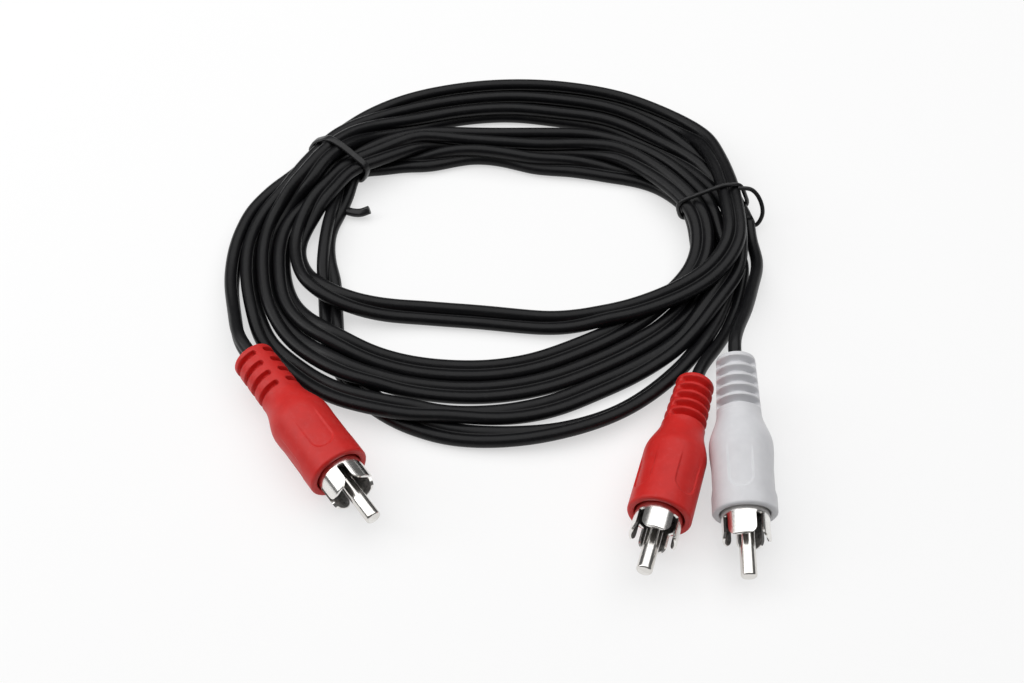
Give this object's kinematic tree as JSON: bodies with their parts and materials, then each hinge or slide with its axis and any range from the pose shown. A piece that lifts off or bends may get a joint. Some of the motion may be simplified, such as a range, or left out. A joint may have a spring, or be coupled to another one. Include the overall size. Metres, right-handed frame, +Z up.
{
  "type": "phono audio Y cable",
  "caption": "Flexible twin audio lead wound in a loose tied coil, with a phono plug at one end and a pair of phono plugs at the other.",
  "frame": {"origin": "on the surface that the cable lies on, below the middle of the whole bundle's box", "axes": "+Z up, -Y towards the plugs' tips, +X from the single plug's side to the pair's side"},
  "size_m": [0.1256, 0.1422, 0.0148],
  "materials": {
    "black_pvc": "glossy flexible black PVC jacket",
    "tie_pvc": "black plastic over thin wire",
    "red_pvc": "satin red moulded PVC",
    "white_pvc": "satin white moulded PVC",
    "nickel_plate": "bright nickel plate on brass, with fine draw marks",
    "insulator_plastic": "black rigid plastic",
    "inner_mould_plastic": "natural plastic",
    "copper": "bare stranded copper"
  },
  "bodies": {
    "root": {"cable_coil": "black_pvc", "twin_lead": "black_pvc", "red_lead": "black_pvc", "white_lead": "black_pvc", "left_tie": "tie_pvc", "right_tie": "tie_pvc", "left_red_boot": "red_pvc", "left_red_ground_shell": "nickel_plate", "left_red_centre_pin": "nickel_plate", "left_red_insulator": "insulator_plastic", "left_red_inner_mould": "inner_mould_plastic", "left_red_upper_conductor": "copper", "left_red_upper_shield_tail": "copper", "left_red_lower_conductor": "copper", "left_red_lower_shield_tail": "copper", "right_red_boot": "red_pvc", "right_red_ground_shell": "nickel_plate", "right_red_centre_pin": "nickel_plate", "right_red_insulator": "insulator_plastic", "right_red_inner_mould": "inner_mould_plastic", "right_red_conductor": "copper", "right_red_shield_tail": "copper", "right_white_boot": "white_pvc", "right_white_ground_shell": "nickel_plate", "right_white_centre_pin": "nickel_plate", "right_white_insulator": "insulator_plastic", "right_white_inner_mould": "inner_mould_plastic", "right_white_conductor": "copper", "right_white_shield_tail": "copper"}
  },
  "joints": []
}
